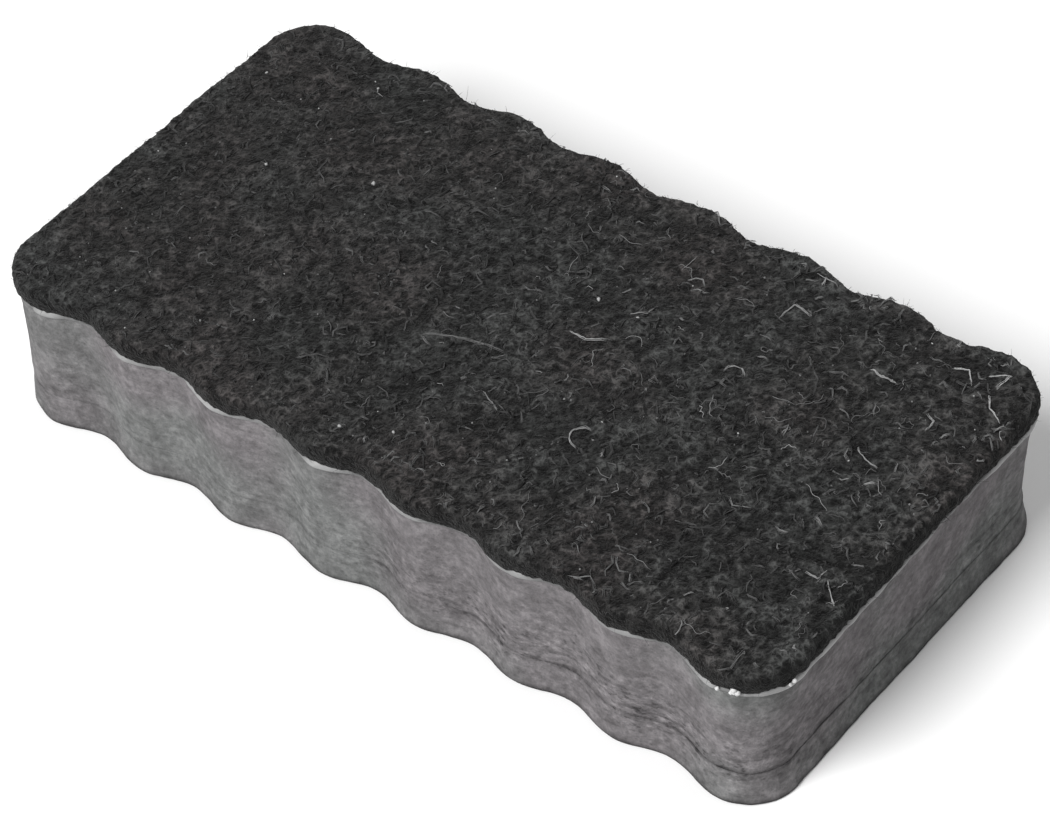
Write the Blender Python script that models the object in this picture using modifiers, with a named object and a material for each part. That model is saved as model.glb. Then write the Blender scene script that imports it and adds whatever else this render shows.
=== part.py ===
"""Chalkboard eraser: a felt wiping pad bonded to a die-cut block of closed-cell foam.

Metres, +Z up. The origin is the centre of the back face. +X runs along the eraser, +Y across it,
and the felt faces +Z. Every layer has one outline: wavy long sides for grip, straight short ends
and round corners.
"""

import math

import bmesh
import bpy

# Overall size, measured over the felt.
LENGTH = 0.105
WIDTH = 0.0545
HEIGHT = 0.0205

# The wavy grip along both long sides.
VALLEYS = 7
PITCH = LENGTH / (VALLEYS + 1)
WAVE_DEPTH = 0.00145
CORNER_RADIUS = (LENGTH - VALLEYS * PITCH) / 2
POINTS_PER_WAVE = 8
POINTS_PER_CORNER = 6

# The layers, from the felt down. Neighbours keep a small gap.
FELT_THICKNESS = 0.0024
FELT_EDGE_ROUND = 0.0004
FILM_THICKNESS = 0.0002
FILM_INSET = 0.0006
BASE_PLY_THICKNESS = 0.0040
GAP = 0.0003

# Heights of the layers that follow from them.
FELT_BOTTOM = HEIGHT - FELT_THICKNESS
FELT_FILM_BOTTOM = FELT_BOTTOM - GAP - FILM_THICKNESS
BLOCK_TOP = FELT_FILM_BOTTOM - GAP
PLY_FILM_BOTTOM = BASE_PLY_THICKNESS + GAP
BLOCK_BOTTOM = PLY_FILM_BOTTOM + FILM_THICKNESS + GAP

# The foam's walls are drawn in by the cutting die, most of all below half height.
BASE_INSET = 0.0002
TOP_INSET = 0.0005
WAIST_DEPTH = 0.0006
WAIST_SKEW = 0.7
BLOCK_LEVELS = 5
BASE_PLY_LEVELS = 3

SMOOTH_ANGLE = math.radians(50)
BEVEL_ANGLE = math.radians(60)


def clear_scene():
    for obj in list(bpy.data.objects):
        bpy.data.objects.remove(obj, do_unlink=True)


def new_collection(name):
    collection = bpy.data.collections.new(name)
    bpy.context.scene.collection.children.link(collection)
    return collection


def principled(name, color, roughness, metallic=0.0):
    material = bpy.data.materials.new(name)
    material.use_nodes = True
    shader = material.node_tree.nodes["Principled BSDF"]
    shader.inputs["Base Color"].default_value = (*color, 1.0)
    shader.inputs["Roughness"].default_value = roughness
    shader.inputs["Metallic"].default_value = metallic
    return material


def wavy_side(half_width):
    """The long side at +Y, from the last crest at -X to the last crest at +X."""
    steps = VALLEYS * POINTS_PER_WAVE
    start = -VALLEYS * PITCH / 2
    points = []
    for i in range(steps + 1):
        x = start + PITCH * i / POINTS_PER_WAVE
        drop = WAVE_DEPTH * (1 + math.cos(2 * math.pi * x / PITCH)) / 2
        points.append((x, half_width - drop))
    return points


def corner(center_y, radius, start_angle):
    """A quarter round at the +X end, clockwise from start_angle, both ends included."""
    points = []
    for i in range(POINTS_PER_CORNER + 1):
        angle = start_angle - math.pi / 2 * i / POINTS_PER_CORNER
        x = LENGTH / 2 - CORNER_RADIUS + radius * math.cos(angle)
        points.append((x, center_y + radius * math.sin(angle)))
    return points


def outline(inset):
    """The eraser's closed outline, drawn in by inset, clockwise from the -X end of the +Y side."""
    radius = CORNER_RADIUS - inset
    center_y = WIDTH / 2 - CORNER_RADIUS
    half = wavy_side(WIDTH / 2 - inset)[:-1]
    half += corner(center_y, radius, math.pi / 2)
    half += corner(-center_y, radius, 0.0)[:-1]
    return half + [(-x, -y) for x, y in half]


def wall_inset(z):
    """How far the foam's wall stands in from the felt's outline at height z."""
    share = z / FELT_BOTTOM
    straight = BASE_INSET + (TOP_INSET - BASE_INSET) * share
    return straight + WAIST_DEPTH * math.sin(math.pi * share**WAIST_SKEW)


def flat_layer(name, inset, bottom, thickness, material, collection):
    """A flat sheet cut to the outline: a filled 2D curve with an extrusion."""
    curve = bpy.data.curves.new(name, "CURVE")
    curve.dimensions = "2D"
    curve.fill_mode = "BOTH"
    curve.extrude = thickness / 2
    points = outline(inset)
    spline = curve.splines.new("POLY")
    spline.points.add(len(points) - 1)
    for point, (x, y) in zip(spline.points, points):
        point.co = (x, y, 0.0, 1.0)
    spline.use_cyclic_u = True
    curve.materials.append(material)
    obj = bpy.data.objects.new(name, curve)
    obj.location = (0.0, 0.0, bottom + thickness / 2)
    collection.objects.link(obj)
    return obj


def round_edges(obj, width, segments):
    """Joins a curve's loose caps to its sides and rounds its rims."""
    weld = obj.modifiers.new("Weld", "WELD")
    weld.merge_threshold = 0.00001
    bevel = obj.modifiers.new("Bevel", "BEVEL")
    bevel.width = width
    bevel.segments = segments
    bevel.limit_method = "ANGLE"
    bevel.angle_limit = BEVEL_ANGLE


def waisted_layer(name, bottom, top, levels, material, collection):
    """A foam layer whose wall follows wall_inset: a loft of outlines that differ in inset."""
    mesh = bpy.data.meshes.new(name)
    model = bmesh.new()
    rings = []
    for level in range(levels):
        z = bottom + (top - bottom) * level / (levels - 1)
        rings.append([model.verts.new((x, y, z)) for x, y in outline(wall_inset(z))])
    model.faces.new(rings[0])
    model.faces.new(reversed(rings[-1]))
    for lower, upper in zip(rings, rings[1:]):
        for i in range(len(lower)):
            model.faces.new((lower[i - 1], upper[i - 1], upper[i], lower[i]))
    bmesh.ops.recalc_face_normals(model, faces=model.faces)
    model.to_mesh(mesh)
    model.free()
    mesh.shade_smooth()
    mesh.set_sharp_from_angle(angle=SMOOTH_ANGLE)
    mesh.materials.append(material)
    obj = bpy.data.objects.new(name, mesh)
    collection.objects.link(obj)
    return obj


def felt_pad(collection):
    material = principled("charcoal_felt", (0.040, 0.040, 0.042), 0.95)
    pad = flat_layer("felt_pad", 0.0, FELT_BOTTOM, FELT_THICKNESS, material, collection)
    round_edges(pad, FELT_EDGE_ROUND, 2)


def glue_films(collection):
    material = principled("dried_adhesive", (0.55, 0.55, 0.53), 0.45)
    ply_inset = wall_inset(PLY_FILM_BOTTOM) + GAP
    flat_layer("felt_glue_film", FILM_INSET, FELT_FILM_BOTTOM, FILM_THICKNESS, material, collection)
    flat_layer("ply_glue_film", ply_inset, PLY_FILM_BOTTOM, FILM_THICKNESS, material, collection)


def foam_plies(collection):
    material = principled("grey_eva_foam", (0.23, 0.225, 0.225), 0.85)
    waisted_layer("foam_block", BLOCK_BOTTOM, BLOCK_TOP, BLOCK_LEVELS, material, collection)
    waisted_layer("foam_base_ply", 0.0, BASE_PLY_THICKNESS, BASE_PLY_LEVELS, material, collection)


def main():
    clear_scene()
    eraser = new_collection("chalkboard_eraser")
    felt_pad(eraser)
    glue_films(eraser)
    foam_plies(eraser)


main()
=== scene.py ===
"""The looks of the chalkboard eraser: needled felt, die-cut EVA foam, the glue between them and lint."""

import math

import bpy
import numpy as np
from mathutils import Matrix, Vector


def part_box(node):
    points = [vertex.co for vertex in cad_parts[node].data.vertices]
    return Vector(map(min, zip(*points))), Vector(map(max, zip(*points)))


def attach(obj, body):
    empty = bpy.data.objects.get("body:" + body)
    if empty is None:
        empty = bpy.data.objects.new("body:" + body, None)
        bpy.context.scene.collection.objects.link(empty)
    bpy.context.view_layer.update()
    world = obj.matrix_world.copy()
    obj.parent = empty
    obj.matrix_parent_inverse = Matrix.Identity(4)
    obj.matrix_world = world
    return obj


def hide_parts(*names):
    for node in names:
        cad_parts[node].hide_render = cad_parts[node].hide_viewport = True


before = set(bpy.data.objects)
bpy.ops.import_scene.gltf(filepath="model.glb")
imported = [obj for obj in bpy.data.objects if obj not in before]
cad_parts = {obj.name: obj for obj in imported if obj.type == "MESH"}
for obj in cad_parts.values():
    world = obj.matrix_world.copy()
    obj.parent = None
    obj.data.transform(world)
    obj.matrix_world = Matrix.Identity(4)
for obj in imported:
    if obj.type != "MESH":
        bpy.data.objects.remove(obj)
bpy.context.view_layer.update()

MM = 0.001

# The outline, as in the CAD: wavy long sides, straight ends, round corners.
FELT_LOW, FELT_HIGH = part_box("felt_pad")
HALF_LENGTH = FELT_HIGH.x
HALF_WIDTH = FELT_HIGH.y
VALLEYS = 7
PITCH = 2 * HALF_LENGTH / (VALLEYS + 1)
WAVE_DEPTH = 1.45 * MM
CORNER_RADIUS = HALF_LENGTH - VALLEYS * PITCH / 2
CORNER_X = HALF_LENGTH - CORNER_RADIUS
CORNER_Y = HALF_WIDTH - CORNER_RADIUS

# Heights. The CAD keeps gaps between the layers, and here the layers meet.
FELT_TOP = FELT_HIGH.z
FELT_BOTTOM = FELT_LOW.z - 0.10 * MM
FELT_FILM_MID = (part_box("felt_glue_film")[0].z + FELT_BOTTOM) / 2
BLOCK_TOP = FELT_BOTTOM - 0.22 * MM
PLY_SEAM = (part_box("foam_base_ply")[1].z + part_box("foam_block")[0].z) / 2
SEAM_HALF = 0.03 * MM

# How far the foam's wall stands in from the felt: least at the base, most below half height.
BASE_INSET = 0.2 * MM
TOP_INSET = 0.5 * MM
WAIST_DEPTH = 0.6 * MM
WAIST_LEAN = 0.25 * MM
WAIST_SKEW = 0.7

# How far apart the mesh points are, and the seed of everything random.
FELT_STEP = 0.36 * MM
FOAM_STEP = 0.40 * MM
SEED = 7


# ---------------------------------------------------------------- noise

LATTICE = np.random.default_rng(SEED).random((32, 32, 32)) * 2 - 1


def value_noise(points, size, offset=0.0):
    """Smooth noise from -1 to 1 with features about size across, which may differ along X, Y and Z."""
    where = points / np.asarray(size) + offset
    cell = np.floor(where).astype(int)
    part = where - cell
    part = part * part * (3 - 2 * part)
    total = np.zeros(len(points))
    for dx in (0, 1):
        for dy in (0, 1):
            for dz in (0, 1):
                corner = (cell + (dx, dy, dz)) & 31
                share = (
                    np.where(dx, part[:, 0], 1 - part[:, 0])
                    * np.where(dy, part[:, 1], 1 - part[:, 1])
                    * np.where(dz, part[:, 2], 1 - part[:, 2])
                )
                total += share * LATTICE[corner[:, 0], corner[:, 1], corner[:, 2]]
    return total


def layered_noise(points, size, layers, offset=0.0):
    """Several value noises on each other, each half as large and half as strong as the one before."""
    total = np.zeros(len(points))
    for i in range(layers):
        total += value_noise(points, np.asarray(size) / 2**i, offset + 5.3 * i) / 2**i
    return total


def worms(points, size, offset=0.0):
    """Winding ridges from 0 to 1, the way matted fibres lie."""
    return 1 - np.minimum(1, 2.2 * np.abs(value_noise(points, size, offset)))


# ---------------------------------------------------------------- outline and layers


def side(inset, step):
    """x and half width along the long side, from -X to +X with both corner rounds, drawn in by inset."""
    radius = CORNER_RADIUS - inset
    turn = np.linspace(0, math.pi / 2, round(CORNER_RADIUS * math.pi / 2 / step) + 1)[1:]
    turn_x = CORNER_X + radius * np.sin(turn)
    turn_y = CORNER_Y + radius * np.cos(turn)
    x = np.linspace(-CORNER_X, CORNER_X, round(2 * CORNER_X / step) + 1)
    y = HALF_WIDTH - inset - WAVE_DEPTH * (1 + np.cos(2 * math.pi * x / PITCH)) / 2
    return np.concatenate([-turn_x[::-1], x, turn_x]), np.concatenate([turn_y[::-1], y, turn_y])


def from_outline(points):
    """How far in from the eraser's outline the points are, seen from above."""
    side_x, side_y = side(0.0, FELT_STEP)
    half = np.interp(points[:, 0], side_x, side_y)
    return np.minimum(HALF_LENGTH - np.abs(points[:, 0]), half - np.abs(points[:, 1]))


def cap_points(z, inset, step):
    """A grid of points over the whole outline, at height z: one column across at each station."""
    x, y = side(inset, step)
    across = np.linspace(-1, 1, round(2 * HALF_WIDTH / step) + 1)
    grid = np.empty((len(x), len(across), 3))
    grid[..., 0] = x[:, None]
    grid[..., 1] = y[:, None] * across
    grid[..., 2] = z
    return grid


def border(columns, rows):
    """Indices of a grid's outer points, counter-clockwise."""
    index = np.arange(columns * rows).reshape(columns, rows)
    return np.concatenate([index[:-1, 0], index[-1, :-1], index[:0:-1, -1], index[0, :0:-1]])


def cap_quads(columns, rows):
    """The faces of a grid, facing up."""
    index = np.arange(columns * rows).reshape(columns, rows)
    quads = np.stack([index[:-1, :-1], index[1:, :-1], index[1:, 1:], index[:-1, 1:]], axis=-1)
    return quads.reshape(-1, 4)


def cap_map(points):
    """Where a cap's points lie in its texture: the upper half of the square."""
    u = 0.01 + 0.98 * (points[:, 0] + HALF_LENGTH) / (2 * HALF_LENGTH)
    v = 0.49 + 0.50 * (points[:, 1] + HALF_WIDTH) / (2 * HALF_WIDTH)
    return np.stack([u, v], axis=-1)


def wall_map(place, level, strip, levels):
    """Where a wall's points lie in its texture: three strips under the cap."""
    u = 0.01 + 0.98 * (place - strip)
    v = 0.01 + 0.14 * strip + 0.13 * level / levels
    return np.stack([u, v], axis=-1)


def layer(name, profile, step, open_face=None):
    """A closed layer of the eraser. profile is (z, inset) from its bottom rim to its top rim.
    open_face, top or bottom, gets a fine grid. A face that is glued down is one flat polygon."""
    rims = [cap_points(z, inset, step) for z, inset in profile]
    columns, rows = rims[0].shape[:2]
    loop = border(columns, rows)
    count = len(loop)
    open_rim = {"top": len(rims) - 1, "bottom": 0}.get(open_face)
    points = []
    rings = []
    total = 0
    for i, rim in enumerate(rims):
        flat = rim.reshape(-1, 3)
        rings.append(total + (loop if i == open_rim else np.arange(count)))
        points.append(flat if i == open_rim else flat[loop])
        total += len(points[-1])
    points = np.concatenate(points)

    here = np.arange(count)
    following = (here + 1) % count
    strip = np.floor(3 * here / count)
    faces = []
    maps = []
    for level, (low, high) in enumerate(zip(rings, rings[1:])):
        faces.append(np.stack([low[here], low[following], high[following], high[here]], axis=-1))
        corners = [
            wall_map(3 * (here + along) / count, level + up, strip, len(rings) - 1)
            for along, up in ((0, 0), (1, 0), (1, 1), (0, 1))
        ]
        maps.append(np.stack(corners, axis=1).reshape(-1, 2))
    if open_rim is not None:
        quads = cap_quads(columns, rows) + int(rings[open_rim].min())
        faces.append(quads if open_face == "top" else quads[:, ::-1])
        maps.append(cap_map(points[faces[-1].ravel()]))
    faces = np.concatenate(faces).tolist()
    for face, wanted in ((rings[0][::-1], "bottom"), (rings[-1], "top")):
        if open_face != wanted:
            faces.append(face.tolist())
            maps.append(0.01 + 0.02 * cap_map(points[face]))
    return new_piece(name, points, faces, np.concatenate(maps))


def new_piece(name, points, faces, texture_map):
    """A smooth mesh object with one UV map, named OFBake."""
    mesh = bpy.data.meshes.new(name)
    mesh.from_pydata(points.tolist(), [], faces)
    mesh.uv_layers.new(name="OFBake").data.foreach_set("uv", texture_map.astype(np.float32).ravel())
    mesh.shade_smooth()
    piece = bpy.data.objects.new(name, mesh)
    bpy.context.scene.collection.objects.link(piece)
    return piece


def read_vectors(mesh, what):
    """All vertices' positions (co) or normals (normal)."""
    values = np.empty(len(mesh.vertices) * 3, np.float32)
    mesh.vertices.foreach_get(what, values)
    return values.reshape(-1, 3).astype(float)


def emboss(piece, relief, upright=False):
    """Moves each point along its normal by relief(points), in metres. Upright walls move only sideways.
    Gives the points as they were before, for the attributes."""
    points = read_vectors(piece.data, "co")
    normals = read_vectors(piece.data, "normal")
    if upright:
        normals[:, 2] = 0
        normals /= np.maximum(np.linalg.norm(normals, axis=1, keepdims=True), 0.3)
    moved = points + normals * relief(points)[:, None]
    piece.data.vertices.foreach_set("co", moved.astype(np.float32).ravel())
    piece.data.update()
    return points


def store(piece, name, values):
    """Keeps one number for each point, for the material to read."""
    attribute = piece.data.attributes.new(name, "FLOAT", "POINT")
    attribute.data.foreach_set("value", values.astype(np.float32))


# ---------------------------------------------------------------- materials


def principled(name, roughness, sheen=0.0, specular=0.3):
    """A new material and its main shader."""
    material = bpy.data.materials.new(name)
    material.use_nodes = True
    shader = material.node_tree.nodes["Principled BSDF"]
    shader.inputs["Roughness"].default_value = roughness
    shader.inputs["Specular IOR Level"].default_value = specular
    shader.inputs["Sheen Weight"].default_value = sheen
    shader.inputs["Sheen Roughness"].default_value = 0.5
    return material, shader


def add(material, kind, sockets=None, **settings):
    """A node with its settings. A socket's value is a number or colour, or another node's output."""
    node = material.node_tree.nodes.new("ShaderNode" + kind)
    for key, value in settings.items():
        setattr(node, key, value)
    for key, value in (sockets or {}).items():
        if isinstance(value, bpy.types.NodeSocket):
            material.node_tree.links.new(value, node.inputs[key])
        else:
            node.inputs[key].default_value = value
    return node


def link(material, output, target):
    """Joins a node's output to another node's socket."""
    material.node_tree.links.new(output, target)


def place(material):
    """Object coordinates, in metres."""
    return add(material, "TexCoord").outputs["Object"]


def noise(material, where, size, detail=2.0, roughness=0.5):
    """The value of a noise texture with features about size across, in metres."""
    sockets = {"Vector": where, "Scale": 1 / size, "Detail": detail, "Roughness": roughness}
    return add(material, "TexNoise", sockets).outputs["Fac"]


def ramp(material, value, stops):
    """A colour ramp from (position, brightness or colour) stops."""
    node = add(material, "ValToRGB", {"Fac": value})
    elements = node.color_ramp.elements
    while len(elements) < len(stops):
        elements.new(0.5)
    for element, (position, color) in zip(elements, stops):
        element.position = position
        element.color = (color, color, color, 1) if isinstance(color, float) else (*color, 1)
    return node.outputs["Color"]


def math_node(material, operation, a, b):
    return add(material, "Math", {0: a, 1: b}, operation=operation).outputs[0]


def mix(material, blend, share, a, b):
    """Two colours blended. The Mix node's colour sockets are told apart only by number."""
    node = add(material, "Mix", data_type="RGBA", blend_type=blend)
    for index, value in ((0, share), (6, a), (7, b)):
        if isinstance(value, bpy.types.NodeSocket):
            link(material, value, node.inputs[index])
        else:
            node.inputs[index].default_value = value
    return node.outputs[2]


def bump(material, height, distance, strength, before=None):
    """A normal bumped by height, on top of the bumps before it."""
    sockets = {"Height": height, "Distance": distance, "Strength": strength}
    if before:
        sockets["Normal"] = before
    return add(material, "Bump", sockets).outputs["Normal"]


def ridges(material, where, size, sharpness):
    """Thin winding lines, 1 on the line and 0 beside it."""
    middle = math_node(material, "SUBTRACT", noise(material, where, size, 1.5, 0.6), 0.5)
    away = math_node(material, "MULTIPLY", math_node(material, "ABSOLUTE", middle, 0.0), sharpness)
    return math_node(material, "MAXIMUM", math_node(material, "SUBTRACT", 1.0, away), 0.0)


def felt_material():
    """Charcoal felt: paler on the matted fibres, with painted shade in the hollows and pits between
    them, and faint warm patches.
    """
    material, shader = principled("charcoal_felt", 0.95, sheen=0.05, specular=0.15)
    where = place(material)
    nap = add(material, "Attribute", attribute_name="nap").outputs["Fac"]
    tangle = noise(material, where, 0.42 * MM, 4.0, 0.7)
    coarse = ridges(material, where, 1.15 * MM, 9.0)
    fine = ridges(material, where, 0.62 * MM, 7.0)
    fibres = math_node(material, "MAXIMUM", coarse, math_node(material, "MULTIPLY", fine, 0.8))
    # The colour follows the nap heights of the relief: paler on the fibres, with painted shade in the
    # low hollows.
    height = math_node(material, "ADD", math_node(material, "MULTIPLY", nap, 0.42),
                       math_node(material, "MULTIPLY", tangle, 0.28))
    height = math_node(material, "ADD", height, math_node(material, "MULTIPLY", fibres, 0.30))
    grey = ramp(material, height, [(0.18, 0.002), (0.38, 0.007), (0.58, 0.025), (0.80, 0.080)])
    # Dark spots of painted shade in the pits between the fibres.
    pit_shade = ramp(material, noise(material, where, 0.95 * MM, 1.0), [(0.36, 0.25), (0.47, 1.0)])
    grey = mix(material, "MULTIPLY", 1.0, grey, pit_shade)
    patches = noise(material, where, 16 * MM, 2.0)
    tint = ramp(material, patches, [(0.40, (0.93, 0.96, 0.94)), (0.62, (1.0, 0.92, 0.90))])
    link(material, mix(material, "MULTIPLY", 1.0, grey, tint), shader.inputs["Base Color"])
    grain = noise(material, where, 0.20 * MM, 3.0, 0.7)
    normal = bump(material, fibres, 0.30 * MM, 0.7)
    normal = bump(material, tangle, 0.25 * MM, 0.7, normal)
    link(material, bump(material, grain, 0.08 * MM, 0.8, normal), shader.inputs["Normal"])
    return material


def foam_material():
    """Grey closed-cell foam: cut cells with painted shade in their pits, drag lines, torn flecks, and
    painted shade along the bottom edge and beside the seam between the plies.
    """
    material, shader = principled("grey_eva_foam", 0.95, specular=0.12)
    where = place(material)
    lying = add(material, "Mapping", {"Vector": where, "Scale": (1, 1, 1.9)}).outputs["Vector"]
    flat = add(material, "Mapping", {"Vector": where, "Scale": (1, 1, 6)}).outputs["Vector"]
    blotches = noise(material, where, 3.0 * MM, 3.0, 0.6)
    mottle = noise(material, where, 0.8 * MM, 3.0, 0.65)
    flecks = noise(material, lying, 1.15 * MM, 2.0, 0.6)
    lines = noise(material, flat, 5.0 * MM, 0.0, 0.5)
    cells = add(material, "TexVoronoi", {"Vector": where, "Scale": 1 / (0.34 * MM)}).outputs["Distance"]
    blend = math_node(material, "ADD", math_node(material, "MULTIPLY", blotches, 0.5),
                      math_node(material, "MULTIPLY", mottle, 0.5))
    grey = ramp(material, blend, [(0.36, 0.140), (0.50, 0.200), (0.63, 0.280)])
    worn = add(material, "Attribute", attribute_name="worn").outputs["Fac"]
    torn = ramp(material, flecks, [(0.32, 0.30), (0.42, 0.66), (0.55, 0.70), (0.66, 1.0)])
    torn = mix(material, "MIX", worn, (0.72, 0.72, 0.72, 1), torn)
    grey = mix(material, "MULTIPLY", 1.0, grey, torn)
    dragged = ramp(material, lines, [(0.30, 0.60), (0.40, 1.0)])
    grey = mix(material, "MULTIPLY", math_node(material, "MULTIPLY", worn, 0.9), grey, dragged)
    # Small dark spots in the cut cells: painted shade in their pits.
    grey = mix(material, "MULTIPLY", 0.7, grey, ramp(material, cells, [(0.05, 0.75), (0.45, 1.0)]))
    # Painted shade: darker along the bottom edge and beside the seam between the plies.
    shade_factor = add(material, "Attribute", attribute_name="shade_factor").outputs["Fac"]
    grey = mix(material, "MULTIPLY", 1.0, grey, ramp(material, shade_factor, [(0.0, 0.0), (1.0, 1.0)]))
    patches = noise(material, where, 22 * MM, 1.0)
    tint = ramp(material, patches, [(0.42, (0.945, 0.96, 0.95)), (0.58, (1.0, 0.94, 0.97))])
    link(material, mix(material, "MULTIPLY", 1.0, grey, tint), shader.inputs["Base Color"])
    normal = bump(material, mottle, 0.25 * MM, 0.5)
    normal = bump(material, flecks, 0.40 * MM, math_node(material, "MULTIPLY", worn, 0.8), normal)
    normal = bump(material, lines, 0.25 * MM, math_node(material, "MULTIPLY", worn, 0.25), normal)
    link(material, bump(material, cells, 0.05 * MM, 0.6, normal), shader.inputs["Normal"])
    return material


def glue_material(name, stops):
    """Dried adhesive, paler where it is thick."""
    material, shader = principled(name, 0.5)
    where = place(material)
    thickness = add(material, "Attribute", attribute_name="bead").outputs["Fac"]
    grain = noise(material, where, 0.7 * MM, 3.0)
    amount = math_node(material, "ADD", math_node(material, "MULTIPLY", thickness, 0.8),
                       math_node(material, "MULTIPLY", grain, 0.2))
    link(material, ramp(material, amount, stops), shader.inputs["Base Color"])
    link(material, bump(material, grain, 0.1 * MM, 0.4), shader.inputs["Normal"])
    return material


def strand_material(name, sheen, stops):
    """Loose fibres. Each strand keeps its own shade, from 0 to 1."""
    material, shader = principled(name, 0.8, sheen=sheen)
    shade = add(material, "Attribute", attribute_name="shade").outputs["Fac"]
    link(material, ramp(material, shade, stops), shader.inputs["Base Color"])
    return material


# ---------------------------------------------------------------- foam, glue and felt bodies


def wall_inset(z):
    """How far the foam's wall stands in from the felt's outline at height z."""
    share = z / FELT_BOTTOM
    straight = BASE_INSET + (TOP_INSET - BASE_INSET) * share
    return straight + WAIST_DEPTH * math.sin(math.pi * share**WAIST_SKEW)


def rounded_profile(bottom, top, step, low_round, high_round):
    """(z, inset) up a foam wall, with rims rounded by low_round and high_round."""
    levels = [(bottom + low_round * (1 - math.cos(a)), low_round * (1 - math.sin(a)))
              for a in (0, math.pi / 4)]
    inner = np.linspace(bottom + low_round, top - high_round, round((top - bottom) / step) + 1)
    levels += [(z, 0.0) for z in inner]
    levels += [(top - high_round * (1 - math.cos(a)), high_round * (1 - math.sin(a)))
               for a in (math.pi / 4, 0)]
    return [(z, wall_inset(z) + extra) for z, extra in levels]


def foam_relief(points):
    """Soft lumps, drag marks along the cut and a waist that deepens towards +X."""
    share = np.clip(points[:, 2] / FELT_BOTTOM, 0.001, 1)
    lean = -WAIST_LEAN * points[:, 0] / HALF_LENGTH * np.sin(math.pi * share**WAIST_SKEW)
    lumps = 0.09 * MM * layered_noise(points, 5 * MM, 2)
    marks = 0.020 * MM * layered_noise(points, (6 * MM, 6 * MM, 1.1 * MM), 1, 3.1)
    grain = 0.060 * MM * layered_noise(points, 1.8 * MM, 3, 8.7)
    return lean + lumps + marks + grain


def foam_wear(points):
    """0 to 1: cells are torn most in a band under half height, and towards +X along the long sides."""
    band = np.exp(-(((points[:, 2] - 5.5 * MM) / (3.6 * MM)) ** 2))
    towards_end = np.clip(0.5 + points[:, 0] / (40 * MM), 0, 1)
    towards_end = np.where(np.abs(points[:, 0]) > CORNER_X + 3 * MM, 0.3, towards_end)
    patches = 0.5 + 0.5 * layered_noise(points, 6 * MM, 2, 14.3)
    torn = band * (0.1 + 0.8 * towards_end) * (0.5 + 0.6 * patches)
    return np.clip(0.12 + 0.25 * patches + torn, 0, 1)


def foam_shade_factor(points):
    """1 where no shade is painted, less along the bottom edge (painted contact shade) and beside the
    seam between the plies (painted shade in the groove).
    """
    ragged = 1 + 0.5 * value_noise(points, 2.2 * MM, 17.0)
    inward = np.maximum(from_outline(points) - 0.9 * MM, 0)
    # Painted contact shade along the bottom edge and just under it.
    contact_shade = 0.80 * np.exp(-((points[:, 2] / (0.55 * MM * ragged)) ** 2) - (inward / (0.9 * MM)) ** 2)
    shows = np.clip(0.65 + points[:, 0] / (50 * MM), 0.25, 1)
    shows = np.where(np.abs(points[:, 0]) > CORNER_X + 4 * MM, 0.3, shows)
    # Painted shade in the groove of the seam between the plies, weaker round the ends.
    seam_shade = 0.34 * shows * ragged * np.exp(-(((points[:, 2] - PLY_SEAM) / (0.30 * MM)) ** 2))
    return np.clip(1 - contact_shade - seam_shade, 0, 1)


def foam_layer(name, node, bottom, top, low_round, high_round, open_face, material):
    """A foam ply from bottom to top, with its rims rounded."""
    profile = rounded_profile(bottom, top, FOAM_STEP, low_round, high_round)
    piece = layer(name, profile, FOAM_STEP, open_face)
    points = emboss(piece, foam_relief, upright=True)
    store(piece, "worn", foam_wear(points))
    # The factor of painted shade along the bottom edge and the ply seam.
    store(piece, "shade_factor", foam_shade_factor(points))
    piece.data.materials.append(material)
    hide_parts(node)
    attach(piece, "root")


def foam_plies():
    """The block under the felt and the thin ply at the back."""
    material = foam_material()
    foam_layer("foam_block_cut", "foam_block", PLY_SEAM + SEAM_HALF, BLOCK_TOP,
               0.03 * MM, 0.12 * MM, None, material)
    foam_layer("foam_base_ply_cut", "foam_base_ply", 0.0, PLY_SEAM - SEAM_HALF,
               0.50 * MM, 0.03 * MM, "bottom", material)


def crest_share(points):
    """1 at the crests of the wavy sides, 0 in the valleys, 0.5 on the ends."""
    wave = (1 - np.cos(2 * math.pi * points[:, 0] / PITCH)) / 2
    return np.where(np.abs(points[:, 0]) <= CORNER_X, wave, 0.5)


def felt_glue_film():
    """The film under the felt. It was squeezed out unevenly, most where the crests were pressed."""
    half = 0.22 * MM
    inset = TOP_INSET - 0.08 * MM
    middle = FELT_FILM_MID - 0.16 * MM
    bulge = ((-1, 1.2), (-1, 0.20), (-0.6, 0.05), (0, 0.0), (0.6, 0.05), (1, 0.20), (1, 1.2))
    profile = [(middle + half * z, inset + extra * MM) for z, extra in bulge]
    piece = layer("felt_glue_line", profile, FOAM_STEP)
    points = read_vectors(piece.data, "co")
    amount = glue_amount(points)
    emboss(piece, lambda p: (0.04 + 0.42 * amount) * MM)
    store(piece, "bead", amount)
    stops = [(0.10, 0.11), (0.40, 0.18), (0.75, 0.27), (1.0, 0.36)]
    piece.data.materials.append(glue_material("dried_felt_glue", stops))
    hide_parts("felt_glue_film")
    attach(piece, "root")


def glue_amount(points):
    """0 to 1: how much glue came out beside these points."""
    patches = layered_noise(points * (1, 1, 0), 7 * MM, 3, 2.2)
    broken = value_noise(points * (1, 1, 0), 1.3 * MM, 7.7)
    from_corner = np.hypot(points[:, 0] - HALF_LENGTH, points[:, 1] + HALF_WIDTH)
    near_corner = 0.6 * np.exp(-((from_corner / (10 * MM)) ** 2))
    pressed = 0.7 * (crest_share(points) - 0.5)
    towards_end = 0.12 * points[:, 0] / HALF_LENGTH
    return np.clip(0.36 + towards_end + 0.75 * patches + 0.35 * broken + near_corner + pressed, 0, 1)


# Where drops of glue came out round the near +X corner: degrees round it, size in millimetres.
CORNER_DROPS = ((-68, 0.34), (-65, 0.26), (-71, 0.22), (-12, 0.28), (-16, 0.18), (-84, 0.18))
SMALL_DROPS = 70


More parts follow.
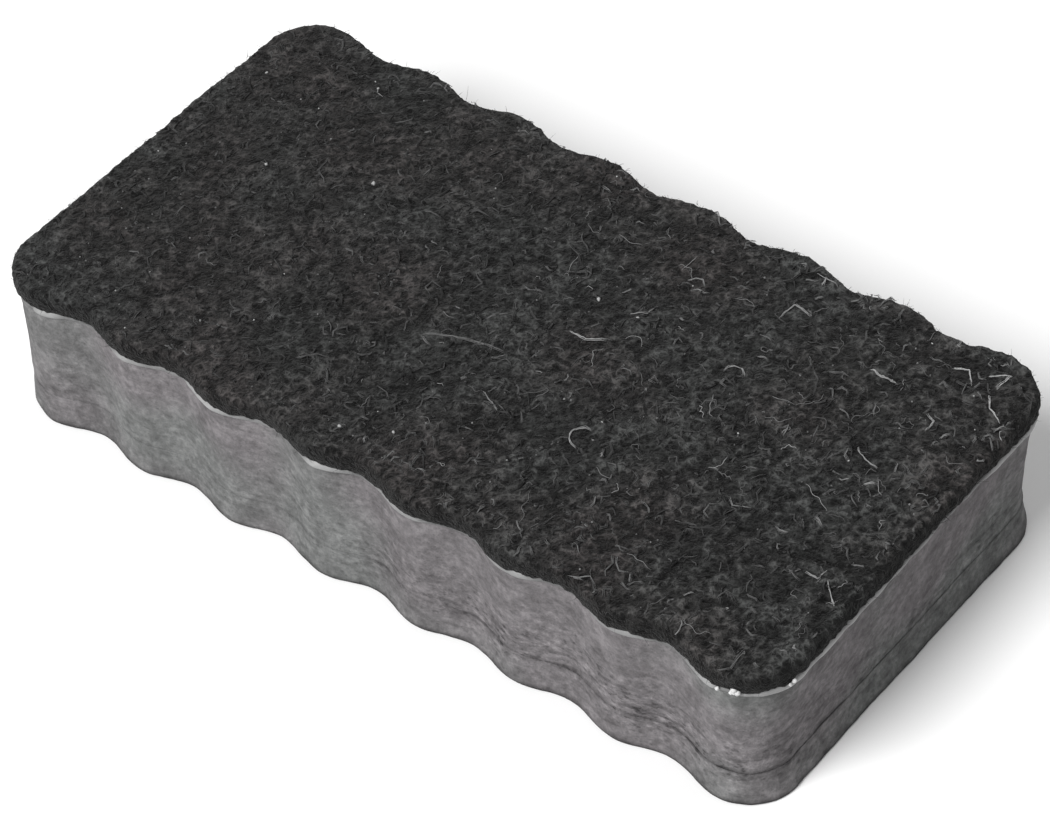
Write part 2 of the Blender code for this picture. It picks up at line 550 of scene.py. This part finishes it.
def glue_beads():
    """Drops of glue under the felt's edge: large ones round the near +X corner, small ones elsewhere."""
    random = np.random.default_rng(SEED + 5)
    rim = cap_points(0.0, TOP_INSET, FELT_STEP)
    rim = rim.reshape(-1, 3)[border(*rim.shape[:2])]
    spread = rim[random.integers(0, len(rim), SMALL_DROPS), :2]
    radius = CORNER_RADIUS - 0.05 * MM
    turns = np.radians([turn for turn, _ in CORNER_DROPS])
    corner = np.stack([CORNER_X + radius * np.cos(turns), -CORNER_Y + radius * np.sin(turns)], axis=-1)
    spots = np.concatenate([corner, spread])
    small = random.uniform(0.05, 0.13, SMALL_DROPS)
    sizes = np.concatenate([[size for _, size in CORNER_DROPS], small]) * MM
    share = np.linspace(-1, 1, 6)
    lean = random.normal(0, 0.5, (len(spots), 2))
    paths = np.empty((len(spots), 6, 3))
    paths[..., :2] = spots[:, None] + lean[:, None] * (sizes[:, None] * share)[..., None]
    large = np.clip(sizes[:, None] / MM - 0.15, 0, 1)
    paths[..., 2] = FELT_FILM_MID + 2.0 * large * MM + 1.4 * sizes[:, None] * share
    lumps = np.clip(1 + 0.35 * random.standard_normal((len(spots), 6)), 0.5, 1.5)
    swell = np.sqrt(1.04 - share**2) * lumps
    shades = np.concatenate([np.full(len(CORNER_DROPS), 0.85), random.uniform(0.1, 0.5, SMALL_DROPS)])
    material = strand_material("dried_glue_drop", 0.0, [(0.0, 0.10), (0.5, 0.24), (1.0, 0.70)])
    strands("felt_glue_drops", paths, sizes[:, None] * swell, shades, 8, material)


def ply_glue_relief(points):
    return foam_relief(points) + 0.03 * MM * layered_noise(points, 3 * MM, 2, 4.4)


def ply_glue_film():
    """The film between the plies shows only as a thin dull line, partly the glue's own colour and partly
    painted shade of the seam.
    """
    inset = wall_inset(PLY_SEAM) + 0.04 * MM
    half = SEAM_HALF + 0.05 * MM
    profile = [(PLY_SEAM + half * z, inset + extra * MM)
               for z, extra in ((-1, 0.8), (-1, 0.1), (0, 0.0), (1, 0.1), (1, 0.8))]
    piece = layer("ply_glue_line", profile, FOAM_STEP)
    points = emboss(piece, ply_glue_relief, upright=True)
    store(piece, "bead", 0.5 + 0.5 * value_noise(points, 5 * MM, 6.6))
    # The glue's dark colour also stands in for shade in the seam.
    material = glue_material("ply_glue_and_seam_shade", [(0.2, 0.09), (0.9, 0.16)])
    piece.data.materials.append(material)
    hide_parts("ply_glue_film")
    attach(piece, "root")


def edge_wear(points):
    """1 along the felt's outline, where the eraser rubs most, down to 0 well inside it."""
    return np.clip(1 - from_outline(points) / (4.5 * MM), 0, 1)


def nap_height(points):
    """How high the matted fibres stand, about 0 to 1. Towards +X the felt is more roughened."""
    mat = 0.60 * worms(points, 1.15 * MM, 1.7) + 0.40 * worms(points, 0.75 * MM, 9.4)
    height = mat + 0.25 * layered_noise(points, 2.6 * MM, 2, 12.5)
    rough = 0.85 + 0.25 * np.clip(points[:, 0] / HALF_LENGTH, -1, 1)
    return np.clip(0.5 + (height - 0.5) * rough, 0, 1)


def felt_relief(points):
    """Low hills with the matted nap on them."""
    hills = 0.10 * MM * layered_noise(points, 11 * MM, 2, 20.1)
    return hills + 0.34 * MM * (nap_height(points) - 0.5)


# The felt's edge as (share of its height, inset in millimetres): nearly upright, round at the top.
FELT_EDGE = ((0, 0.40), (0.04, 0.20), (0.14, 0.08), (0.28, 0.02), (0.42, -0.02), (0.56, -0.02),
             (0.70, 0.02), (0.82, 0.12), (0.91, 0.28), (0.97, 0.50), (1.0, 0.80))
# The matted nap fades out over this depth below the felt's face, and with it the edge darkens as painted
# shade under the felt.
FELT_SKIN = 1.0 * MM


def felt_body():
    """The needled felt pad, matted on its face and plain down its edge, with painted shade darkening the
    edge towards its bottom.
    """
    thickness = FELT_TOP - FELT_BOTTOM
    profile = [(FELT_BOTTOM + share * thickness, inset * MM) for share, inset in FELT_EDGE]
    piece = layer("felt_pad_needled", profile, FELT_STEP, "top")
    points = emboss(piece, felt_relief)
    shade_depth = np.clip((FELT_TOP - points[:, 2]) / FELT_SKIN, 0, 1)
    worn = 0.12 * edge_wear(points)
    # Down the edge the nap fades and the colour darkens nearly to black: painted shade under the felt.
    store(piece, "nap", (nap_height(points) + worn) * (1 - 0.88 * shade_depth))
    piece.data.materials.append(felt_material())
    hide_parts("felt_pad")
    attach(piece, "root")


# ---------------------------------------------------------------- fibres


def felt_surface(x, y):
    """Height of the felt's top at x, y."""
    flat = np.stack([x, y, np.full_like(x, FELT_TOP)], axis=-1)
    return FELT_TOP + felt_relief(flat)


def strands(name, paths, radii, shades, sides, material):
    """Many fibres in one piece, as closed tubes. paths is fibre by point by XYZ, radii fibre by point.
    shades has one number for each fibre."""
    along = np.gradient(paths, axis=1)
    along /= np.linalg.norm(along, axis=2, keepdims=True) + 1e-12
    first = np.cross(along, (0.31, 0.52, 0.80))
    first /= np.linalg.norm(first, axis=2, keepdims=True) + 1e-12
    second = np.cross(along, first)
    angles = 2 * math.pi * np.arange(sides) / sides
    ring = first[:, :, None] * np.cos(angles)[:, None] + second[:, :, None] * np.sin(angles)[:, None]
    points = paths[:, :, None] + ring * radii[:, :, None, None]
    fibres, stations = paths.shape[:2]

    index = np.arange(fibres * stations * sides).reshape(fibres, stations, sides)
    turned = np.roll(index, -1, axis=2)
    quads = np.stack([index[:, :-1], turned[:, :-1], turned[:, 1:], index[:, 1:]], axis=-1)
    quads = quads.reshape(-1, 4)
    ends = np.concatenate([index[:, 0, ::-1], index[:, -1]])
    faces = quads.tolist() + ends.tolist()

    # A strand has one shade, so its place in the texture is that shade across and its length up.
    u = np.broadcast_to(0.02 + 0.96 * shades[:, None, None], index.shape)
    v = np.broadcast_to(np.linspace(0.02, 0.98, stations)[None, :, None], index.shape)
    spots = np.stack([u + 0.002 * (np.arange(sides) % 2), v], axis=-1).reshape(-1, 2)
    corners = np.concatenate([quads.ravel(), ends.ravel()])

    piece = new_piece(name, points.reshape(-1, 3), faces, spots[corners])
    store(piece, "shade", np.repeat(shades, stations * sides))
    piece.data.materials.append(material)
    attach(piece, "root")


def curl(random, start, heading, length, bend, stations):
    """Flat winding paths: fibre by point by XY. bend is the whole turn, in radians."""
    share = np.linspace(0, 1, stations)
    angle = heading[:, None] + bend[:, None] * (share - 0.5)
    for waves in (1.0, 2.3):
        phase = random.uniform(0, 2 * math.pi, (len(start), 1))
        swing = random.normal(0, 0.45, (len(start), 1))
        angle = angle + swing * np.sin(2 * math.pi * waves * share + phase)
    steps = np.stack([np.cos(angle), np.sin(angle)], axis=-1) * (length / stations)[:, None, None]
    paths = np.cumsum(steps, axis=1)
    return start[:, None] + paths - paths.mean(axis=1, keepdims=True)


def locks(random, guides, children, spread):
    """Loose bundles: each guide path becomes several fibres that drift apart by about spread."""
    count, stations = guides.shape[:2]
    share = np.linspace(0, 1, stations)[:, None]
    first = random.normal(0, spread, (count, children, 1, 2))
    last = random.normal(0, spread, (count, children, 1, 2))
    shift = first * (1 - share) + last * share
    shift = shift + random.normal(0, spread * 0.3, (count, children, stations, 2))
    return (guides[:, None] + shift).reshape(count * children, stations, 2)


def spots_on_felt(random, count, margin):
    """Random places on the felt, at least margin in from its edge."""
    side_x, side_y = side(margin, FELT_STEP)
    x = random.uniform(side_x[0], side_x[-1], count)
    y = random.uniform(-1, 1, count) * np.interp(x, side_x, side_y)
    return np.stack([x, y], axis=-1)


def inside_outline(paths, margin):
    """Pulls points that hang over the edge back to margin inside it."""
    side_x, side_y = side(margin, FELT_STEP)
    x = np.clip(paths[..., 0], side_x[0], side_x[-1])
    most = np.interp(x, side_x, side_y)
    return np.stack([x, np.clip(paths[..., 1], -most, most)], axis=-1)


def on_felt(random, flat, lift, root):
    """Lays flat paths on the felt: both ends sunk by root, the middle raised by about lift."""
    x, y = flat[..., 0], flat[..., 1]
    ground = felt_surface(x.ravel(), y.ravel()).reshape(x.shape)
    share = np.linspace(0, 1, x.shape[1])
    arch = np.sin(math.pi * share) ** 0.7
    height = ground - root + (root + lift[:, None]) * arch
    return np.concatenate([flat, height[..., None]], axis=-1)


# Each half of the nap has this many locks, and each lock this many fibres.
NAP_LOCKS = 1380
LOCK_FIBRES = 6


def felt_nap():
    """The tangle on the felt's face: locks of short fibres, each lock with a shade of its own."""
    random = np.random.default_rng(SEED + 1)
    stops = [(0.0, 0.004), (0.30, 0.017), (0.55, 0.052), (0.80, 0.120), (1.0, 0.260)]
    material = strand_material("nap_fibre", 0.1, stops)
    for name in ("felt_nap_a", "felt_nap_b"):
        start = spots_on_felt(random, NAP_LOCKS, 0.5 * MM)
        heading = random.uniform(0, 2 * math.pi, NAP_LOCKS)
        length = random.gamma(5.0, 0.42, NAP_LOCKS) * MM
        bend = random.normal(0, 2.3, NAP_LOCKS)
        flat = curl(random, start, heading, length, bend, 4)
        flat = inside_outline(locks(random, flat, LOCK_FIBRES, 0.075 * MM), 0.2 * MM)
        lock_lift = np.repeat(random.gamma(2.2, 0.085, NAP_LOCKS), LOCK_FIBRES)
        lift = lock_lift * random.uniform(0.4, 1.3, len(flat)) * MM
        paths = on_felt(random, flat, lift, 0.04 * MM)
        width = random.uniform(0.018, 0.034, len(flat)) * MM
        radii = width[:, None] * np.array([0.6, 1.0, 1.0, 0.5])
        rough = 0.85 + 0.2 * np.clip(start[:, 0] / HALF_LENGTH, -1, 1)
        worn = 0.16 * edge_wear(start)
        shade = np.repeat(random.beta(1.5, 2.2, NAP_LOCKS) * rough + worn, LOCK_FIBRES)
        shade = np.clip(shade + random.normal(0, 0.09, len(flat)), 0, 1)
        strands(name, paths, radii, shade, 3, material)


FUZZ_FIBRES = 3600


def edge_fuzz():
    """Fibres that stand out of the felt's cut edge."""
    random = np.random.default_rng(SEED + 2)
    count = FUZZ_FIBRES
    rim = cap_points(0.0, 0.1 * MM, FELT_STEP)
    rim = rim.reshape(-1, 3)[border(*rim.shape[:2])]
    spot = random.integers(0, len(rim), count)
    tangent = rim[(spot + 1) % len(rim)] - rim[spot - 1]
    outward = np.stack([tangent[:, 1], -tangent[:, 0]], axis=-1)
    outward /= np.linalg.norm(outward, axis=1, keepdims=True)
    heading = np.arctan2(outward[:, 1], outward[:, 0]) + random.normal(0, 0.9, count)
    length = random.gamma(3.0, 0.15, count) * MM
    root = rim[spot, :2] - outward * random.uniform(0.1, 0.5, (count, 1)) * MM
    share = np.linspace(0, 1, 5)
    angle = heading[:, None] + random.normal(0, 0.8, (count, 1)) * share
    steps = np.stack([np.cos(angle), np.sin(angle)], axis=-1) * (length / 4)[:, None, None]
    flat = root[:, None] + np.cumsum(steps, axis=1) - steps[:, :1]
    base = random.uniform(FELT_BOTTOM + 0.2 * MM, FELT_TOP - 0.1 * MM, count)
    droop = random.normal(0.05, 0.28, count) * length
    height = base[:, None] + droop[:, None] * share**1.5
    paths = np.concatenate([flat, height[..., None]], axis=-1)
    width = random.uniform(0.014, 0.026, count) * MM
    radii = width[:, None] * np.array([1.0, 1.0, 0.9, 0.7, 0.4])
    stops = [(0.0, 0.003), (0.6, 0.022), (1.0, 0.12)]
    material = strand_material("edge_fibre", 0.05, stops)
    strands("felt_edge_fuzz", paths, radii, random.beta(1.6, 2.6, count), 3, material)


# Stray pale fibres that catch the eye. Each is placed as shares of the felt's half length and
# half width. Then come its heading in degrees, its length in millimetres, how far it bends smoothly
# and folds sharply in degrees, and how pale it is from 0 to 1.
STRAY_FIBRES = (
    (0.90, 0.85, 35, 5.0, 0, -135, 0.90),
    (0.93, 0.70, -60, 4.5, -20, 40, 1.00),
    (0.83, 0.80, 20, 4.0, 0, -70, 0.80),
    (0.45, 0.70, 80, 5.0, 0, -90, 0.60),
    (0.20, 0.35, 30, 4.0, 0, 60, 0.50),
    (0.15, 0.10, -5, 5.0, 0, 45, 0.65),
    (0.45, 0.30, 20, 3.5, -150, 0, 0.70),
    (0.70, 0.60, -15, 3.5, 0, 30, 0.75),
    (0.85, 0.50, -30, 3.0, 0, -60, 0.65),
    (0.80, 0.20, -25, 4.0, 60, 0, 0.65),
    (0.30, -0.35, 100, 5.0, -190, 0, 0.75),
    (0.10, -0.40, -25, 3.5, 10, 0, 0.50),
    (0.90, -0.40, -10, 3.5, 0, 100, 0.70),
    (0.95, -0.45, -45, 3.5, 0, 0, 0.80),
    (-0.05, -0.20, 20, 10.0, -25, 0, 0.25),
)
STRANDS_A_FIBRE = 4
LINT_TRIES = 1000
LINT_FIBRES = 210


def stray_paths(stations):
    """The stray fibres as flat paths: fibre by point by XY."""
    along, across, heading, length, bend, fold, _ = np.array(STRAY_FIBRES, float).T
    share = np.linspace(0, 1, stations)
    turned = bend[:, None] * (share - 0.5) + fold[:, None] * (share > 0.5)
    angle = np.radians(heading[:, None] + turned)
    steps = np.stack([np.cos(angle), np.sin(angle)], axis=-1) * (length * MM / stations)[:, None, None]
    paths = np.cumsum(steps, axis=1)
    middle = np.stack([along * HALF_LENGTH, across * HALF_WIDTH], axis=-1)
    return middle[:, None] + paths - paths.mean(axis=1, keepdims=True)


def lint():
    """Pale fibres caught in the felt, most of them towards +X."""
    random = np.random.default_rng(SEED + 3)
    stations = 15
    pale = np.repeat([row[-1] for row in STRAY_FIBRES], STRANDS_A_FIBRE)
    chosen = locks(random, stray_paths(stations), STRANDS_A_FIBRE, 0.08 * MM)
    chosen_shade = pale * random.uniform(0.55, 1.0, len(chosen))
    start = spots_on_felt(random, LINT_TRIES, 1.0 * MM)
    wanted = random.random(len(start)) < 0.18 + 0.6 * (start[:, 0] / HALF_LENGTH + 0.55)
    start = start[wanted][:LINT_FIBRES]
    count = len(start)
    heading = random.uniform(0, 2 * math.pi, count)
    length = random.gamma(2.2, 0.75, count) * MM
    flat = curl(random, start, heading, length, random.normal(0, 1.8, count), stations)
    flat = inside_outline(np.concatenate([chosen, flat]), 0.2 * MM)
    shade = np.concatenate([chosen_shade, random.beta(1.2, 3.0, count)])
    chosen_lift = random.uniform(0.08, 0.2, len(chosen))
    lift = np.concatenate([chosen_lift, random.gamma(2.0, 0.06, count)]) * MM
    paths = on_felt(random, flat, lift, 0.03 * MM)
    paths[..., 2] += 0.05 * MM
    chosen_width = 0.022 + 0.016 * pale
    width = np.concatenate([chosen_width, random.uniform(0.018, 0.034, count)]) * MM
    taper = 1 - 0.5 * np.abs(np.linspace(-1, 1, stations)) ** 3
    stops = [(0.0, 0.07), (0.35, 0.16), (1.0, 0.46)]
    material = strand_material("pale_lint", 0.1, stops)
    strands("felt_lint", paths, width[:, None] * taper, shade, 5, material)


# The brightest specks, given as shares of the felt's half length and half width.
BRIGHT_SPECKS = ((-0.50, 0.30), (0.10, 0.30), (-0.10, -0.85))
LARGE_SPECKS = 8
SPECKS = 260


def crumbs():
    """Small pale specks of chalk and fluff."""
    random = np.random.default_rng(SEED + 4)
    chosen = np.array(BRIGHT_SPECKS) * (HALF_LENGTH, HALF_WIDTH)
    start = np.concatenate([chosen, spots_on_felt(random, SPECKS - len(chosen), 1.0 * MM)])
    size = random.uniform(0.04, 0.11, SPECKS) * MM
    size[:LARGE_SPECKS] = np.linspace(0.22, 0.13, LARGE_SPECKS) * MM
    shade = random.beta(1.1, 3.4, SPECKS)
    shade[:LARGE_SPECKS] = 0.65
    heading = random.uniform(0, 2 * math.pi, len(start))
    share = np.linspace(-1, 1, 5)
    step = np.stack([np.cos(heading), np.sin(heading)], axis=-1)
    flat = start[:, None] + step[:, None] * (size[:, None] * share)[..., None] * 1.3
    ground = felt_surface(start[:, 0], start[:, 1])
    height = np.broadcast_to((ground + 0.4 * size)[:, None], flat.shape[:2])
    paths = np.concatenate([flat, height[..., None]], axis=-1)
    swell = np.sqrt(1.05 - share**2)
    lumps = np.clip(1 + 0.25 * random.standard_normal((len(start), 5)), 0.5, 1.5)
    stops = [(0.0, 0.06), (0.5, 0.18), (1.0, 0.60)]
    material = strand_material("chalk_crumb", 0.0, stops)
    strands("felt_crumbs", paths, size[:, None] * swell * lumps, shade, 6, material)


# ---------------------------------------------------------------- studio


def studio_floor():
    """A pale floor just under the eraser."""
    bpy.ops.mesh.primitive_plane_add(size=6.0, location=(0, 0, -0.02 * MM))
    floor = bpy.context.object
    floor.name = "studio_floor"
    material, shader = principled("pale_floor", 0.9)
    shader.inputs["Base Color"].default_value = (0.84, 0.84, 0.84, 1)
    floor.data.materials.append(material)


def soft_light(name, direction, distance, size, power):
    """A square area light that looks at the eraser from direction."""
    data = bpy.data.lights.new(name, "AREA")
    data.shape = "SQUARE"
    data.size = size
    data.energy = power
    lamp = bpy.data.objects.new(name, data)
    lamp.location = Vector(direction).normalized() * distance
    lamp.rotation_euler = (-lamp.location).to_track_quat("-Z", "Y").to_euler()
    bpy.context.scene.collection.objects.link(lamp)


def studio_lights():
    """A key light from the near side, a weaker one from above and behind, and a pale sky."""
    soft_light("key_light", (-0.16, -0.86, 1.0), 1.1, 0.50, 15.9)
    soft_light("top_light", (0.1, 0.5, 1.0), 1.3, 0.9, 4.6)
    world = bpy.data.worlds.new("studio")
    world.use_nodes = True
    world.node_tree.nodes["Background"].inputs["Color"].default_value = (1, 1, 1, 1)
    world.node_tree.nodes["Background"].inputs["Strength"].default_value = 0.26
    bpy.context.scene.world = world
    bpy.context.scene.view_settings.view_transform = "Standard"


# The camera looks from the near right at about 45 degrees, through a long lens.
CAMERA_AZIMUTH = math.radians(39.9)
CAMERA_ELEVATION = math.radians(45.6)
CAMERA_ROLL = math.radians(2.9)
CAMERA_DISTANCE = 0.4344
CAMERA_TARGET = Vector((3.07, -2.63, 10.25)) * MM
CAMERA_LENS = 136.8


def studio_camera():
    """The camera of the photograph, turned about its own axis by CAMERA_ROLL."""
    data = bpy.data.cameras.new("camera")
    data.lens = CAMERA_LENS
    data.sensor_width = 36.0
    data.clip_start = 0.01
    camera = bpy.data.objects.new("camera", data)
    flat = math.cos(CAMERA_ELEVATION)
    back = Vector((math.sin(CAMERA_AZIMUTH) * flat, -math.cos(CAMERA_AZIMUTH) * flat,
                   math.sin(CAMERA_ELEVATION)))
    level = Vector((math.cos(CAMERA_AZIMUTH), math.sin(CAMERA_AZIMUTH), 0))
    turn = Matrix.Rotation(-CAMERA_ROLL, 3, back)
    right = turn @ level
    up = back.cross(right)
    camera.matrix_world = Matrix.Translation(CAMERA_TARGET + back * CAMERA_DISTANCE) @ Matrix(
        (right, up, back)).transposed().to_4x4()
    bpy.context.scene.collection.objects.link(camera)
    bpy.context.scene.camera = camera


studio_camera()
studio_lights()
studio_floor()
foam_plies()
ply_glue_film()
felt_glue_film()
glue_beads()
felt_body()
felt_nap()
edge_fuzz()
lint()
crumbs()
